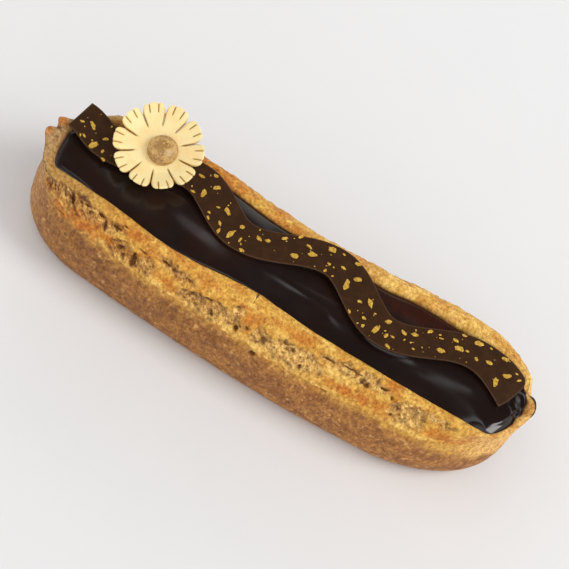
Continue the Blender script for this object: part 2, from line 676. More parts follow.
def strip_chocolate():
    material, shades = new_material("satin dark chocolate")
    colour = mottled(shades, (52, 29, 9), (62, 36, 12), 2.5, 0.4, 0.75)
    grain = shades.group(GRAIN, {"Size": 0.35, "Contrast": 0.6})
    colour = shaded(shades, colour, grain["Shade"])
    colour = painted(shades, colour, (shades.times(shades.mark("edge"), 0.5), (104, 76, 54)))
    normal = shades.bump(grain["Height"], 0.03)
    finish_surface(shades, colour, shades.remap(grain["Height"], 0.3, 0.7, 0.45, 0.62), normal, IOR=1.23)
    return material


def gold_leaf():
    material, shades = new_material("gold leaf")
    colour = mottled(shades, (224, 180, 72), (176, 128, 34), 0.6, 0.4, 0.65)
    crumple = shades.noise(0.45, 3.0, 0.6)
    metal = shades.remap(crumple, 0.3, 0.7, 0.25, 0.5)
    normal = shades.bump(crumple, 0.08)
    finish_surface(shades, colour, shades.remap(crumple, 0.3, 0.7, 0.35, 0.55), normal, Metallic=metal)
    return material


def white_chocolate():
    material, shades = new_material("white chocolate")
    colour = mottled(shades, (251, 228, 168), (251, 219, 152), 5.0, 0.4, 0.7)
    colour = painted(shades, colour, (shades.mark("groove"), (172, 128, 44)))
    grain = shades.group(GRAIN, {"Size": 0.6, "Contrast": 0.12})
    colour = shaded(shades, colour, grain["Shade"])
    normal = shades.bump(grain["Height"], 0.04)
    glow = {"Subsurface_Weight": 0.25, "Subsurface_Radius": (1.0, 0.7, 0.35), "Subsurface_Scale": 0.8 * MM}
    finish_surface(shades, colour, shades.remap(grain["Height"], 0.3, 0.7, 0.42, 0.58), normal, **glow)
    return material


def praline():
    material, shades = new_material("praline")
    colour = mottled(shades, (200, 160, 93), (164, 122, 67), 2.4, 0.42, 0.62)
    colour = painted(
        shades, colour,
        (shades.patches(0.55, 0.58, 0.68, 0.6, 2.0, 0.5, shift=2.0), (232, 198, 146)),
        (shades.patches(0.7, 0.62, 0.7, 1.0, 2.0, 0.5, shift=9.0), (104, 74, 48)),
    )
    grain = shades.group(GRAIN, {"Size": 0.5, "Contrast": 0.25})
    colour = shaded(shades, colour, grain["Shade"])
    colour = painted(shades, colour, (shades.ramp("Z", 36.2, 39.0, 0.35, 0.0), (132, 90, 40)))  # darker foot
    normal = shades.bump(shades.noise(1.2, 2.0), 0.06)
    finish_surface(shades, colour, shades.remap(grain["Height"], 0.3, 0.7, 0.26, 0.38), normal, IOR=1.45)
    return material


# ---- choux shell ----


def push_rim(p):
    """Moves a point of the rim by the lumps and notches near it."""
    moved = p.copy()
    for place, reach, push in RIM_LUMPS:
        near = math.exp(-((p - Vector(place)).length_squared) / (2 * reach**2))
        moved += near * Vector(push)
    return moved


def skin_relief(p):
    """Broad lumps, dimples and fine wrinkles of the crust."""
    broad = LUMP_DEPTH * (rough(p, LUMP_SPAN, 0) + DIMPLE_SHARE * rough(p, DIMPLE_SPAN, 1))
    return broad + roughs(p, *WRINKLES)


def crumb_texture(p, x):
    """The crumb's strands from 0 to 1, its fine grain from -1 to 1, and its pores from 0 to 1."""
    lean = STRAND_LEAN + roughs(p, LEAN_CHANGE)
    leaning = x + lean * (p.z - STRAND_TURN_Z) + roughs(p, STRAND_WANDER)

    def scaled(size):
        return Vector((leaning / size[0], p.y / size[1], p.z / size[2]))

    strand = clamp(0.5 - STRAND_GAIN * rough(scaled(STRAND_SIZE), 1.0, 10))
    pore = noise.voronoi(scaled(PORE_SIZE))[0][0]
    pore = falling(pore, 0.1, 0.34) * smoothstep(rough(p, 4.0, 16), -0.1, 0.2)
    return strand, rough(p, GRAIN_SPAN, 11), pore


def tears_at(p, x):
    """The tears at a point of a flank: their depth, and how much is crumb, shaded by their lip, and lip."""
    wandering_x = x + roughs(p, *TEAR_WANDER_X)
    wandering_z = p.z + roughs(p, *TEAR_WANDER_Z)
    depth = crumb = shade = lip = 0.0
    for tear_x, tear_z, long, high, deep, fall in TEARS:
        if abs(x - tear_x) > 1.4 * long + 1.5:
            continue
        up = (wandering_z - tear_z - fall * (x - tear_x)) / high
        off = ((wandering_x - tear_x) / long) ** 2 + up**2
        upper = smoothstep(up, -0.7, 0.6)
        inside = falling(off, lerp(0.35, 0.84, upper), lerp(1.3, 1.02, upper))
        crumb = max(crumb, inside)
        depth = max(depth, deep * inside * lerp(0.3, 1.0, upper))
        under_lip = smoothstep(off, 0.6, 0.88) * falling(off, 0.94, 1.1)
        shade = max(shade, under_lip * smoothstep(up, 0.2, 0.65) * smoothstep(rough(p, 3.0, 23), -0.25, 0.2))
        lip = max(lip, smoothstep(off, 0.9, 1.08) * falling(off, 1.15, 1.8))
    return depth, crumb, shade, lip


def torn(p):
    """How deep the torn crumb lies at a point of a flank, and its crumb and hollow marks."""
    x = flank_x(p)
    strand, fine, pore = crumb_texture(p, x)
    depth, crumb, shade, lip = tears_at(p, x)
    coarser = lerp(LOOSE_STRANDS, 1.0, smoothstep(x, *LOOSE_X))
    open_here = falling(p.z, *FAR_RIM_Z) if p.y > 0 else 1.0
    crumb *= open_here
    depth += crumb * (STRAND_DEPTH * coarser * (strand - 0.4) + GRAIN_DEPTH * fine + PORE_DEPTH * pore)
    by_strand, by_grain, by_pore = HOLLOW_SHARES
    hollow = crumb * clamp(by_strand * coarser * (strand - 0.43) - by_grain * fine + by_pore * pore)
    hollow = max(hollow, shade * open_here * clamp(0.6 + 0.9 * fine))
    for hole_x, hole_z, wide, high, deep, lean in HOLES:
        dz = p.z - hole_z
        off = ((x - hole_x - lean * dz) / wide) ** 2 + (dz / high) ** 2
        if off < 3:
            pit = open_here * falling(off + 0.6 * fine, 0.35, 1.4)
            depth += deep * pit
            hollow = max(hollow, 0.9 * pit)
    ragged = 0.5 + rough(p, 1.3, 17)
    depth = depth * open_here - TEAR_LIP * lip * (1 - crumb) * ragged
    flank = smoothstep(abs(p.y), *WHOLE_ENDS)
    return depth * flank, crumb * flank * clamp(0.85 - 0.7 * fine), 0.95 * hollow * flank


def ridged(p):
    """How much of the ragged golden ridge stands at a point of a flank."""
    x = flank_x(p)
    z = p.z + roughs(p, *RIDGE_WANDER)
    most = 0.0
    for ridge_x, ridge_z, long, high, fall in RIDGES:
        off = ((x - ridge_x) / long) ** 4 + ((z - ridge_z - fall * (x - ridge_x)) / high) ** 2
        most = max(most, math.exp(-off) * clamp(0.75 + 1.2 * rough(p, 1.4, 26)))
    if p.y > 0:
        most *= falling(p.z, *FAR_RIDGE_Z)
        along_rim = smoothstep(p.x, *FAR_RIDGE_X) * smoothstep(p.z, *RIM_START_Z)
        most = max(most, 0.8 * along_rim * clamp(0.5 + 1.3 * rough(p, 2.2, 27)))
    return most


def rim_marks(p):
    """How dark the pits and how deep the toasted spots of the rim's ends are at a point."""

    def off(x, y, reach):
        return ((p.x - x) ** 2 + (p.y - y) ** 2) / reach**2

    pit = toast = 0.0
    for place in RIM_PITS:
        pit = max(pit, 0.85 * falling(off(*place) + 0.4 * rough(p, 0.8, 28), 0.3, 1.3))
    for *place, strength in RIM_TOASTED:
        toast = max(toast, strength * falling(off(*place) + 0.8 * rough(p, 1.2, 29), 0.2, 1.4))
    return pit, toast


def toasted(p):
    """How deeply toasted the crust is at a point."""
    x = flank_x(p)
    wander = roughs(p, *TOAST_WANDER)
    most = 0.0
    for toast_x, toast_z, long, high, strength in TOASTED:
        off = ((x - toast_x) / long) ** 2 + ((p.z - toast_z) / high) ** 2
        most = max(most, strength * falling(off + wander, -0.3, 1.7))
    if p.y > 0:
        on_rim = smoothstep(p.z, *FAR_TOAST_Z)
        most *= 1 - on_rim
        wander = roughs(p, *FAR_TOAST_WANDER)
        for toast_x, long, strength in FAR_TOASTED:
            off = ((p.x - toast_x) / long) ** 2
            most = max(most, strength * on_rim * falling(off + wander, 0.1, 1.3))
    return 0.85 * most


def lip_line(inset=0.0):
    """The line where glaze meets pastry. It wanders a little, and most at the right end."""
    ring = outline(LIP, inset)
    fade = clamp(1 - inset / LIP_CALM)
    out = []
    for i, p in enumerate(ring):
        along = ring[(i + 1) % STATIONS] - ring[i - 1]
        inward = Vector((-along.y, along.x)).normalized()
        ragged = smoothstep(p.x, *RAGGED_X) * smoothstep(p.y, *RAGGED_Y)
        bite = (1 - ragged) * roughs(p.to_3d(), EVEN_LIP) + ragged * roughs(p.to_3d(), RAGGED_LIP)
        out.append(p + inward * bite * fade)
    return out


MARKS = ("crumb", "hollow", "toast", "ridge", "stain")


def marks(**given):
    """The painted marks of a point, 0 unless given."""
    return {**dict.fromkeys(MARKS, 0.0), **given}


def roughen(ring, rise, amount):
    """Moves a ring along its outward direction. Returns its points, each with its painted marks."""
    count = len(ring)
    out = []
    for i, p in enumerate(ring):
        along = ring[(i + 1) % count] - ring[i - 1]
        outward = Vector((along.y, -along.x, 0)).normalized() * math.cos(rise)
        outward.z = math.sin(rise)
        depth, crumb, hollow = torn(p)
        ridge = ridged(p)
        place = push_rim(p + outward * (amount * skin_relief(p) - depth + RIDGE_RISE * ridge))
        toast = toasted(p) * (1 - ridge)
        if p.z > RIM_START_Z[0]:
            pit, spot = rim_marks(place)
            near_rim = smoothstep(p.z, *RIM_START_Z)
            hollow = max(hollow, pit * near_rim)
            toast = max(toast, spot * near_rim)
        out.append((place, marks(crumb=crumb * (1 - ridge), hollow=hollow, toast=toast, ridge=0.8 * ridge)))
    return out


def plain(ring, stain=0.0):
    return [(p, marks(stain=stain)) for p in ring]


def shell_rows():
    """The shell's rings from the middle of its underside, up the flank and over the rim into the trough."""
    foot = outline(BELLY, FOOT_INSET, FOOT_END_INSET)
    belly = outline(BELLY)
    crest = outline(CREST)
    lip = lip_line()
    floor = outline(LIP, TROUGH_TAPER)
    rows = [plain(ring_between(middle_line(foot), foot, share, 0.0)) for share in (0, 0.5, 0.85, 0.97, 1)]
    foot_rings = 22
    for k in range(1, foot_rings + 1):
        turn = quarter(k, foot_rings)
        ring = ring_between(foot, belly, math.sin(turn), BELLY_Z * (1 - math.cos(turn)))
        rows.append(roughen(ring, turn - math.pi / 2, k / foot_rings))
    flank_rings = 64
    power = 2 / FLANK_POWER
    for k in range(1, flank_rings):
        turn = quarter(k, flank_rings)
        z = lerp(BELLY_Z, RIM_Z, math.sin(turn) ** power)
        rows.append(roughen(ring_between(belly, crest, 1 - math.cos(turn) ** power, z), turn, 1.0))
    rim_rings = 9
    for k in range(rim_rings):
        share = k / rim_rings
        ring = ring_between(crest, lip, share, RIM_Z - LIP_DROP * share**4)
        row = []
        for p in ring:
            lifted = p + Vector((0, 0, (1 - share) * skin_relief(p)))
            place = lifted.lerp(push_rim(lifted), 1 - share**3)
            ridge = ridged(p) if p.y > 0 else 0.0
            stain = 0.7 * smoothstep(share, 0.8, 1.0)
            pit, spot = rim_marks(place)
            row.append((place, marks(hollow=pit, toast=max(toasted(p), spot), ridge=ridge, stain=stain)))
        rows.append(row)
    trough_z = RIM_Z - TROUGH_DEPTH
    for plan, z in ((lip, RIM_Z - LIP_DROP), (floor, trough_z), (middle_line(floor), trough_z)):
        rows.append(plain(raised(plan, z), stain=1.0))
    return rows


def choux_shell():
    bm = bmesh.new()
    layers = {name: bm.verts.layers.float.new(name) for name in MARKS}
    rows = shell_rows()
    for v, i, j in close_skin(bm, [[p for p, _ in row] for row in rows]):
        for name, value in rows[j][i][1].items():
            v[layers[name]] = value
    close_seams(bm)
    dress("baked_shell", bm, baked_choux(), "choux_pastry", "choux_shell")


# ---- glaze ----

GLAZE_SHOULDER = 1.4
GLAZE_BITE = 0.25  # how far the glaze reaches into the pastry, out of sight
GLAZE_GAP = 0.3  # how far its hidden bed keeps off the trough's wall and floor, and its side off the lip
GLAZE_DIP = 0.05  # how far below the lip its shoulder begins
# Long low swells in the poured surface: x, y, half-length, half-width, height, and slant along x
SWELLS = [
    (3.5, -5.0, 10.0, 0.75, 0.12, 0.03), (8.0, -2.6, 8.0, 0.7, 0.13, 0.1),
    (15.6, -6.4, 2.6, 0.9, 0.13, -0.3), (-29.0, -3.6, 9.0, 2.2, 0.13, -0.2),
    (47.0, -3.4, 9.0, 2.6, 0.45, 0.3), (35.5, -4.6, 4.5, 1.3, 0.32, 0.12), (25.0, 7.6, 5.0, 1.6, 0.16, 0.1),
]
GLAZE_EDGE = {"near": 0.02, "far": 0.2, "left": 0.05, "right": 0.12}  # how high it stands over the lip
FAR_EDGE_Y = (-6.0, 4.0)  # the near edge's height turns into the far edge's between these places
LEFT_EDGE = (0.5, 4.0)  # and the ends' heights into those between these distances from each end
RIGHT_EDGE = (3.0, 9.0)
GLAZE_REACH = 8.5  # from the end of its shoulder to its middle line
LEFT_BANK = (3.2, 0.38, (4.0, 16.0))  # the slope at its left end: width, height, and where that dies away
CORNER_BANK = (63.0, -9.0, 2.7, 0.92)  # place, width and height of the full slope at its near right corner
CORNER_FADE = (3.5, 17.0)  # it dies away between these distances from its place
BANK_BESIDE = 8.0  # width of that slope away from the corner
CORNER_SPREAD = (3.0, 12.0)  # it widens between these distances
FAR_FALL = (-15.0, 10.0, 0.95, 4.4)  # a longer fall to the far edge: middle x, half-length, height and width
DENTED_X = (60.5, 63.5)  # the dents begin between these places
DENTED_Y = (-5.0, -1.0)
STRIP_HOLD = (2.6, 3.9)  # the glaze meets the strip's underside between these distances from its middle
HELD_X = ((-61.0, -58.0), (56.0, 59.0))  # that begins and ends between these places

far_lip = through(LIP["far"])


def banks(p, from_edge, round_off):
    """The slopes down to the pastry at the left end, at the near right corner and along the far edge."""
    wide, high, fade = LEFT_BANK
    from_left = p.x - LIP["left"]
    z = high * round_off * falling(from_left, *fade) * level_off(from_left / wide)
    x, y, wide, high = CORNER_BANK
    away = math.hypot(p.x - x, p.y - y)
    wide = lerp(wide, BANK_BESIDE, smoothstep(away, *CORNER_SPREAD))
    z += high * falling(away, *CORNER_FADE) * level_off(from_edge / wide)
    middle, long, high, wide = FAR_FALL
    return z + high * bell((p.x - middle) / long) * level_off((far_lip(p.x) - p.y) / wide)


def swells(p):
    """The long low swells of the poured surface, and the small dents of its right end."""
    z = smoothstep(p.x, *DENTED_X) * smoothstep(p.y, *DENTED_Y) * roughs(p, GLAZE_DENTS)
    for x, y, long, wide, high, slant in SWELLS:
        across = p.y - y - slant * (p.x - x)
        z += high * bell((p.x - x) / long, across / wide)
    return z


def held_by_strip(p):
    """How much the strip's underside holds the surface at its own height."""
    away = min((strip_point(p.x + step, 0.0) - p.xy).length for step in (-1, 0, 1))
    start, end = HELD_X
    return falling(away, *STRIP_HOLD) * smoothstep(p.x, *start) * falling(p.x, *end)


def glaze_height(p, inset, toward_middle):
    """The poured surface: a low shoulder at the pastry, a crown, banks and long swells."""
    from_left = p.x - LIP["left"]
    from_right = LIP["right"] - p.x
    edge = lerp(GLAZE_EDGE["near"], GLAZE_EDGE["far"], smoothstep(p.y, *FAR_EDGE_Y))
    edge = lerp(edge, GLAZE_EDGE["left"], falling(from_left, *LEFT_EDGE))
    edge = lerp(edge, GLAZE_EDGE["right"], falling(from_right, *RIGHT_EDGE))
    round_off = level_off(inset / GLAZE_SHOULDER, 2.4)
    crown = smoothstep(toward_middle, 0, 1) * smoothstep(min(from_left, from_right), 0, GLAZE_END)
    z = RIM_Z - LIP_DROP - GLAZE_DIP + round_off * (edge + swells(p))
    z += crown * (GLAZE_CROWN + GLAZE_WAVES * rough(p, GLAZE_WAVE_SPAN, 3))
    z += banks(p, inset + toward_middle * GLAZE_REACH, round_off)
    return lerp(z, STRIP_Z + 0.02, held_by_strip(p))


def chocolate_glaze():
    floor = outline(LIP, TROUGH_TAPER + GLAZE_GAP)
    floor_z = RIM_Z - TROUGH_DEPTH + GLAZE_GAP
    side_z = RIM_Z - LIP_DROP - GLAZE_GAP
    bite = lip_line(-GLAZE_BITE)
    rows = [raised(middle_line(floor), floor_z), raised(floor, floor_z), raised(bite, side_z)]
    shoulder_rings = 9
    for k in range(shoulder_rings + 1):
        inset = GLAZE_SHOULDER * k / shoulder_rings
        ring = lip_line(inset)
        rows.append([Vector((p.x, p.y, glaze_height(p.to_3d(), inset, 0.0))) for p in ring])
    middle = middle_line(ring)
    top_rings = 20
    for k in range(1, top_rings + 1):
        share = k / top_rings
        level = ring_between(ring, middle, share, 0.0)
        rows.append([Vector((p.x, p.y, glaze_height(p, GLAZE_SHOULDER, share))) for p in level])
    bm = bmesh.new()
    close_skin(bm, rows)
    close_seams(bm)
    return bm


RUN_ENDS = (0.2625, -0.075)  # it spans these shares of the far and the near quarter end at the right tip
RUN_RADII = (0.36, 0.13)  # of its thick and its thin end
RUN_THINS = (0.0, 0.6)  # shares of its length between which it thins
RUN_LIFT = 0.1  # how far its middle lies over the rim


def glaze_run():
    """The thin run of glaze that hangs over the rim at the right tip."""
    bm = bmesh.new()
    crest = outline(CREST)
    sides = 12
    steps = 30
    up = Vector((0, 0, 1))
    first, last = [round(share * END_STATIONS) for share in RUN_ENDS]
    path = []
    for k in range(steps + 1):
        at = crest[round(lerp(first, last, k / steps)) % STATIONS].to_3d()
        path.append(push_rim(at + RIM_Z * up))
    for v, side, k in sheet(bm, sides, steps):
        around = 2 * math.pi * side / sides
        along = (path[min(k + 1, steps)] - path[max(k - 1, 0)]).normalized()
        across = along.cross(up).normalized()
        share = k / steps
        taper = math.sqrt(clamp(min(share, 1 - share) * 9))
        radius = lerp(*RUN_RADII, smoothstep(share, *RUN_THINS)) * taper + 0.01
        v.co = (path[k] + RUN_LIFT * up + radius * (math.cos(around) * across + math.sin(around) * up)) * MM
    close_seams(bm)
    bmesh.ops.holes_fill(bm, edges=bm.edges)
    bmesh.ops.recalc_face_normals(bm, faces=bm.faces)
    return bm


# ---- strip ----

STRIP_TAPER = 0.55  # how far its underside is drawn in from its top
STRIP_FLARE = (50.0, 60.0, 1.15)  # its far side widens from the first x to the second, by the third
STRIP_BULGE = 0.5  # how far the middle of its cut end stands out
STRIP_CORNER = (1.3, 0.72)  # how far the cut's corner falls back, and the lane where that begins
STRIP_BEVEL = 0.08  # its softened edges

strip_middle = wave(STRIP_WAVE)


def strip_point(x, across):
    """A point of the strip's plan: x along its middle line, and across from -1, near, to 1, far."""
    step = 0.05
    slope = (strip_middle(x + step) - strip_middle(x - step)) / (2 * step)
    side = Vector((-slope, 1)).normalized() * STRIP_WIDTH / 2 + Vector((STRIP_SLANT, 0))
    start, end, most = STRIP_FLARE
    flare = most * smoothstep(x, start, end) * max(across, 0.0)
    return Vector((x, strip_middle(x) + flare)) + side * across


def strip_top(x):
    start, end, drop = STRIP_CURL
    return STRIP_Z + STRIP_THICKNESS - drop * smoothstep(x, start, end)


def strip_stop(across):
    """How far along its middle line the strip runs before its slanting, slightly rounded end cuts it."""
    near, far = [Vector(corner) for corner in STRIP_CUT]
    outward = Vector((far.y - near.y, near.x - far.x)).normalized()
    back, lane = STRIP_CORNER
    reach = STRIP_BULGE * (1 - across**2) - back * (max(across - lane, 0.0) / (1 - lane)) ** 2
    x = STRIP_FLARE[0]
    step = 0.02
    while (strip_point(x, across) - near).dot(outward) < reach:
        x += step
    return x


def strip_place(lane, share, stop, inset):
    """A point of the strip's sheet: lane from -1 to 1 across it, share from 0 to 1 along it."""
    x = lerp(STRIP_WAVE[0][0] + inset, stop - inset, share)
    return strip_point(x, lane * (1 - 2 * inset / STRIP_WIDTH))


def chocolate_strip():
    """A sheet drawn along the wave, thickened downwards and drawn in below, with softened edges."""
    bm = bmesh.new()
    edge, lane_of, share_of, stop_of = [
        bm.verts.layers.float.new(name) for name in ("edge", "lane", "share", "stop")
    ]
    along = 300
    across = 16
    lanes = [math.sin(quarter(2 * k - across, across)) for k in range(across + 1)]
    stops = [strip_stop(lane) for lane in lanes]
    for v, station, lane in sheet(bm, along, across):
        v[lane_of] = lanes[lane]
        v[share_of] = (v.co.x + 1) / 2
        v[stop_of] = stops[lane]
        v[edge] = float(abs(lanes[lane]) > 0.97 or station in (0, along))
        place = strip_place(v[lane_of], v[share_of], v[stop_of], 0.0)
        z = strip_top(place.x) + roughs(place.to_3d(), STRIP_WAVER)
        v.co = Vector((place.x, place.y, z)) * MM
    below = bmesh.ops.extrude_face_region(bm, geom=bm.faces[:])["geom"]
    for v in only(bmesh.types.BMVert, below):
        place = strip_place(v[lane_of], v[share_of], v[stop_of], STRIP_TAPER)
        v.co = Vector((place.x, place.y, v.co.z / MM - STRIP_THICKNESS)) * MM
        v[edge] = 0.0
    bmesh.ops.recalc_face_normals(bm, faces=bm.faces)
    bm.normal_update()
    rim = [e for e in bm.edges if len(e.link_faces) == 2 and e.calc_face_angle() > 0.8]
    bmesh.ops.bevel(
        bm, geom=rim, offset=STRIP_BEVEL * MM, segments=2, profile=0.5, affect="EDGES", material=-1,
    )
    bmesh.ops.recalc_face_normals(bm, faces=bm.faces)
    dress("wavy_strip", bm, strip_chocolate(), "dark_chocolate", "chocolate_strip")


# Flakes of gold leaf on the strip: x, y, length, width and turn in degrees
FLAKES = [
    (-62.2, 2.0, 1.1, 0.6, 20), (-59.5, 2.6, 2.4, 1.0, -46), (-59.8, -1.3, 1.1, 0.6, -40),
    (-56.6, -2.1, 2.5, 1.3, 67), (-55.1, 1.1, 1.5, 0.7, 40), (-53.9, -2.4, 1.3, 0.6, 100),
    (-52.7, -4.4, 1.2, 0.8, 0), (-30.5, 7.0, 1.5, 0.9, 0), (-30.3, 1.7, 1.1, 0.7, 10),
    (-27.6, 9.3, 1.4, 0.8, 10), (-27.8, 2.9, 2.4, 1.3, 95), (-25.9, 6.4, 2.0, 1.1, 40),
    (-24.2, -1.0, 0.9, 0.6, 0), (-23.7, -2.5, 1.2, 0.6, -40), (-23.0, 1.7, 1.0, 0.5, 20),
    (-20.5, 2.1, 2.6, 1.1, -37), (-20.5, -2.1, 1.3, 0.7, -50), (-19.8, -4.3, 1.7, 0.7, 100),
    (-16.9, -3.0, 3.0, 1.1, 71), (-15.4, 0.5, 1.6, 1.0, 50), (-14.2, -3.0, 1.4, 0.7, 90),
    (-12.5, -5.4, 1.3, 1.0, 0), (-10.5, 0.2, 1.6, 1.0, -20), (-8.3, 1.1, 1.5, 0.9, 20),
    (-5.2, 4.3, 1.7, 0.8, 40), (-2.0, 7.3, 1.5, 0.8, 60), (-1.0, 1.4, 1.9, 1.3, 15),
    (0.9, 6.1, 1.6, 0.7, -10), (2.6, 4.6, 2.1, 1.3, 20), (6.2, 9.0, 2.1, 1.3, 10),
    (7.3, 4.9, 0.9, 0.6, 0), (7.3, 2.6, 0.9, 0.7, 60), (9.2, 9.6, 0.8, 0.5, 0),
    (10.7, 6.1, 1.4, 0.8, -10), (13.4, 9.4, 1.6, 1.1, 30), (13.6, 2.3, 2.9, 1.4, 100),
    (15.3, 5.5, 2.0, 1.3, 35), (17.5, -3.9, 1.2, 0.6, -45), (18.5, 0.2, 1.2, 0.8, 0),
    (20.9, 1.4, 2.7, 1.1, -50), (21.4, -3.3, 1.3, 0.8, 0), (22.1, -5.4, 1.1, 0.8, 80),
    (25.3, -4.2, 2.8, 1.3, 70), (27.0, -0.4, 1.7, 1.1, 40), (28.2, -4.2, 1.6, 0.8, 80),
    (29.7, -3.5, 1.1, 0.6, 0), (29.8, -6.6, 1.5, 0.9, -20), (31.6, -0.7, 1.6, 1.0, -20),
    (34.1, 0.5, 1.8, 1.1, 20), (35.5, -3.3, 0.8, 0.5, 0), (37.0, 3.7, 1.6, 0.8, 50),
    (40.2, 3.7, 1.2, 0.4, 10), (41.6, 0.7, 2.1, 1.3, 15), (43.6, 5.5, 1.7, 0.7, 0),
    (44.8, 8.1, 1.4, 0.6, 15), (45.3, 4.0, 2.1, 1.5, 15), (47.2, 4.6, 0.9, 0.6, 0),
    (48.9, 8.4, 2.1, 1.3, 20), (50.1, 4.0, 1.1, 0.7, -40), (52.1, 9.0, 0.8, 0.6, 0),
    (53.3, 5.2, 1.6, 1.0, 0), (56.5, 8.6, 1.9, 1.0, 15), (57.0, 1.1, 2.7, 1.3, 100),
    (58.7, 4.6, 2.2, 1.1, 35), (60.6, 6.8, 0.8, 0.5, 0), (61.9, 5.6, 1.3, 0.5, 45),
]
FLAKE_CORNERS = 11
FLAKE_JAG = (0.78, 0.5)  # each corner's reach: the least, and how much a draw adds
FLAKE_LIFT = (0.1, 0.1)  # each corner's height: the same
FLAKE_PEAK = 0.07  # how far the middle stands over the corners
FLAKE_SUNK = 0.05  # how far it lies in the strip
SPECKS = 90
SPECK_SIZE = (0.2, 0.55)
SPECK_LANE = 0.88  # how near the strip's edges the specks come
GOLDEN_RATIO = 0.618034


def leaf_flake(bm, place, size, turn, seed):
    """One crumpled flake of gold leaf, lying on the strip."""
    disc = bmesh.ops.create_circle(bm, cap_ends=True, segments=FLAKE_CORNERS, radius=0.5)["verts"]
    turned = Matrix.Rotation(turn, 2)
    least, more = FLAKE_JAG
    for k, v in enumerate(disc):
        jag = least + more * draw(seed + 0.11 * k)
        flat = turned @ Vector((jag * size[0] * v.co.x, jag * size[1] * v.co.y))
        v.co = Vector((place[0] + flat.x, place[1] + flat.y, strip_top(place[0]) - FLAKE_SUNK)) * MM
    top = bmesh.ops.extrude_face_region(bm, geom=[disc[0].link_faces[0]])["geom"]
    least, more = FLAKE_LIFT
    for k, v in enumerate(only(bmesh.types.BMVert, top)):
        v.co.z += (least + more * draw(seed + 0.37 * k)) * MM
    middle = bmesh.ops.poke(bm, faces=only(bmesh.types.BMFace, top))["verts"][0]
    middle.co.z += FLAKE_PEAK * MM


def gold_flakes():
    bm = bmesh.new()
    for i, (x, y, long, wide, turn) in enumerate(FLAKES):
        leaf_flake(bm, (x, y), (long, wide), math.radians(turn), i)
    start = STRIP_WAVE[0][0] + 1
    end = STRIP_CUT[0][0]
    for i in range(SPECKS):
        lane = SPECK_LANE * (2 * ((i * GOLDEN_RATIO + 0.1 * draw(i)) % 1) - 1)
        place = strip_point(lerp(start, end, draw(i + 200.5)), lane)
        size = lerp(*SPECK_SIZE, draw(i + 400.5) ** 2)
        leaf_flake(bm, place, (1.3 * size, 0.8 * size), math.pi * draw(i + 0.9), i + 500)
    bmesh.ops.recalc_face_normals(bm, faces=bm.faces)
    dress("gold_flakes", bm, gold_leaf(), "dark_chocolate", "chocolate_strip", smooth=False)


# ---- flower ----

PETAL_COLUMNS = 60
PETAL_ROWS = 26
DISC_ROWS = 8
GROOVE_AT = 0.37  # grooves near each petal's tip, as a share of its half-width
GROOVE_WIDTH = 0.048
GROOVE_LENGTH = 2.6
GROOVE_DEPTH = 0.6
NOTCH = 0.35
SLIT_GAP = 0.015
EDGE_ROUND = 0.5
PETAL_PUFF = 0.35  # how much lower a petal's sides lie than its middle
PETAL_CORNERS = 2.3  # how far the corners of a petal's tip fall back
PETAL_LIFTS = 0.9  # how much the petals differ in height
PETAL_LENGTHS = 0.07  # how much they differ in length, as a share
SUNK = 0.05  # how far the dab and the ball reach into what they stand on


def place_flower(p):
    """From the flower's own frame, flat with its underside on z = 0, to its place on the strip."""
    return (Matrix.Rotation(math.radians(FLOWER_TILT), 3, "X") @ p + FLOWER_AT) * MM


def groove(column):
    """How near a petal column is to one of its two grooves."""
    return bell((abs(column) - GROOVE_AT) / GROOVE_WIDTH)


def petal_tip(column):
    return PETAL_REACH - PETAL_CORNERS * abs(column) ** 6 - NOTCH * groove(column)


def petal_plan(column, row):
    """Radius and share of the half-angle: rows below 0 are the disc's, from 0 to 1 the free petal's."""
    if row < 0:
        return PETAL_SLIT * (1 + row), column
    radius = lerp(PETAL_SLIT, petal_tip(column), row)
    return radius, column * (1 - SLIT_GAP * smoothstep(row, 0, 0.16))


def petal_grid():
    """One petal's plan points with their distance to its free edge, for top and bottom alike."""
    half = math.pi / PETALS
    columns = [2 * i / PETAL_COLUMNS - 1 for i in range(PETAL_COLUMNS + 1)]
    disc = [k / DISC_ROWS - 1 for k in range(DISC_ROWS)]
    free = [math.sin(quarter(k, PETAL_ROWS)) ** 0.9 for k in range(PETAL_ROWS + 1)]

    def flat(column, row):
        radius, share = petal_plan(column, row)
        return Vector((radius * math.sin(share * half), radius * math.cos(share * half)))

    edge = [flat(side, row) for side in (-1, 1) for row in free] + [flat(column, 1) for column in columns]
    grid = []
    for row in disc + free:
        line = []
        for column in columns:
            radius, share = petal_plan(column, row)
            p = flat(column, row)
            gap = min((p - q).length for q in edge)
            if row >= 0 and (abs(column) == 1 or row == 1):
                gap = 0.0
            line.append((radius, share, gap, column))
        grid.append(line)
    return grid


